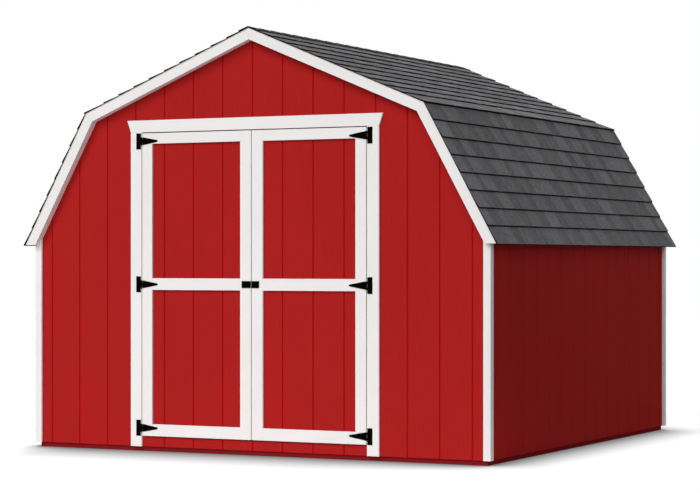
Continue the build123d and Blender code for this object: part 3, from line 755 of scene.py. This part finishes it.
# Ridge cap: folded shingles that overlap along the ridge, with their lower edges towards the doors
def capShapes():
    # each cap: a fold across the ridge, as two flaps joined by a round bend; the flaps lie on the
    # last course, which rises towards their feet, and the thickness falls from the front edge back
    rng = np.random.default_rng(ridgeCap["seed"])
    count = round(2 * roof["end"] / ridgeCap["exposure"])
    edges = np.linspace(-roof["end"], roof["end"], count + 1)
    footShare = (upperStop - capFoot) / (upperStop - upperStarts[-1])
    rise = footShare * (shingles["butt"] - shingles["tail"])
    flapPitch = upperPitch - np.arctan2(rise, ridgeCap["flap"])
    apex = roof["peak"][1] + (shingles["tail"] + ridgeCap["clearance"]) / np.cos(upperPitch)
    turn = np.linspace(-flapPitch, flapPitch, ridgeCap["bendPoints"])
    turn = np.concatenate([turn[:1], turn, turn[-1:]])
    push = np.zeros(len(turn))
    push[-1] = ridgeCap["flap"] - ridgeCap["bendRadius"] * np.tan(flapPitch)
    push[0] = -push[-1]
    normals = np.stack([np.sin(turn), np.cos(turn)], 1)
    slides = np.stack([np.cos(turn), -np.sin(turn)], 1)
    centre = np.array([0.0, apex - ridgeCap["bendRadius"] / np.cos(flapPitch)])
    fold = centre + ridgeCap["bendRadius"] * normals + push[:, None] * slides
    heights = (0.0, ridgeCap["butt"], ridgeCap["tail"], 0.0)
    shapes = []
    for start, stop in zip(edges[:-1], edges[1:]):
        points = np.empty((4, len(turn), 3))
        for row, (place, height) in enumerate(zip((start, start, stop, stop), heights)):
            points[row, :, [0, 2]] = (fold + height * normals).T
            points[row, :, 1] = place
        grid = np.arange(points[..., 0].size).reshape(4, -1)
        after = np.roll(grid, -1, axis=0)
        sides = np.stack([grid[:, :-1], after[:, :-1], after[:, 1:], grid[:, 1:]], -1)
        faces = np.concatenate([sides.reshape(-1, 4), grid[:, [0]].T, grid[:, [-1]].T])
        tones = np.zeros(len(faces))
        tones[len(turn) - 1:2 * (len(turn) - 1)] = rng.uniform(*ridgeCap["tone"])
        fall = np.repeat([stop - start, stop - start, 0.0, 0.0], len(turn))
        shapes.append((points.reshape(-1, 3), faces, tones, np.full(len(faces), rng.random()), fall))
    return shapes


capMesh = joinShapes("ridgeCapShingles", capShapes())
addPiece("ridgeCapShingles", capMesh, shingle, "shed", "shingles", "ridge_cap")
print("roof ready")

# Screws: pan heads with a cross recess, in the hinges and the latch plates
screw = {
    "radius": 0.004,
    "height": 0.0018,
    "recess": 0.0010,
    "recessLength": 0.0024,
    "recessWidth": 0.0006,
    "rings": 9,
    "spokes": 24,
}
hinges = {
    "pinX": 0.761,
    "faceY": -1.539,           # the trim face that the plates lie on
    "metal": 0.0025,
    "heights": (0.142, 1.015, 1.885),
    "plateScrews": [(-0.0225, -0.038), (-0.0225, 0.0), (-0.0225, 0.038)],
    "strapScrews": [(0.030, 0.010), (0.056, -0.008), (0.092, 0.0)],
}
latch = {
    "metal": 0.004,
    "height": 1.017,
    "screws": {"left": [(0.050, 0.013), (0.050, -0.013)], "right": [(0.040, 0.013), (0.040, -0.013)]},
}


def screwHead():
    # height over the plate = a flat dome of the radius, less a cross-shaped recess in its middle
    radii = np.linspace(1, 0, screw["rings"], endpoint=False)
    turn = np.arange(screw["spokes"]) * 2 * np.pi / screw["spokes"]
    across = screw["radius"] * radii[:, None] * np.cos(turn)
    up = screw["radius"] * radii[:, None] * np.sin(turn)
    dome = screw["height"] * np.sqrt(1 - radii ** 4)[:, None] * np.ones_like(across)
    inArm = np.minimum(abs(across), abs(up)) < screw["recessWidth"]
    inCross = inArm & (np.hypot(across, up) < screw["recessLength"])
    out = dome - screw["recess"] * inCross
    rim = np.stack([across, -out, up], -1).reshape(-1, 3)
    points = np.concatenate([rim, [[0, -(screw["height"] - screw["recess"]), 0], [0, 0, 0]]])
    grid = np.arange(len(rim)).reshape(radii.size, turn.size)
    after = np.roll(grid, -1, axis=1)
    sides = np.stack([grid[:-1], after[:-1], after[1:], grid[1:]], -1).reshape(-1, 4).tolist()
    tip, base = len(rim), len(rim) + 1
    tipFaces = [(a, b, tip) for a, b in zip(grid[-1], after[-1])]
    baseFaces = [(b, a, base) for a, b in zip(grid[0], after[0])]
    return points, [tuple(int(i) for i in face) for face in sides + tipFaces + baseFaces]


def addScrews(name, body, places):
    points, faces = screwHead()
    allPoints = (np.array(places)[:, None, :] + points[None]).reshape(-1, 3)
    allFaces = [tuple(i + step * len(points) for i in face) for step in range(len(places)) for face in faces]
    mesh = bpy.data.meshes.new(name)
    mesh.from_pydata(allPoints.tolist(), [], allFaces)
    faceOutwards(mesh)
    addPiece(name, mesh, blackCoat, body, "black_hardware")


plateFront = hinges["faceY"] - hinges["metal"]
latchFront = hinges["faceY"] - latch["metal"]
for side, hand in ((-1, "left"), (1, "right")):
    strapPlaces = [(side * (hinges["pinX"] - x), plateFront, height + z)
                   for height in hinges["heights"] for x, z in hinges["strapScrews"]]
    latchPlaces = [(side * x, latchFront, latch["height"] + z) for x, z in latch["screws"][hand]]
    addScrews(hand + "DoorScrews", hand + "_door", strapPlaces + latchPlaces)
platePlaces = [(side * (hinges["pinX"] - x), plateFront, height + z)
               for side in (-1, 1) for height in hinges["heights"] for x, z in hinges["plateScrews"]]
addScrews("hingePlateScrews", "shed", platePlaces)
print("screws ready")
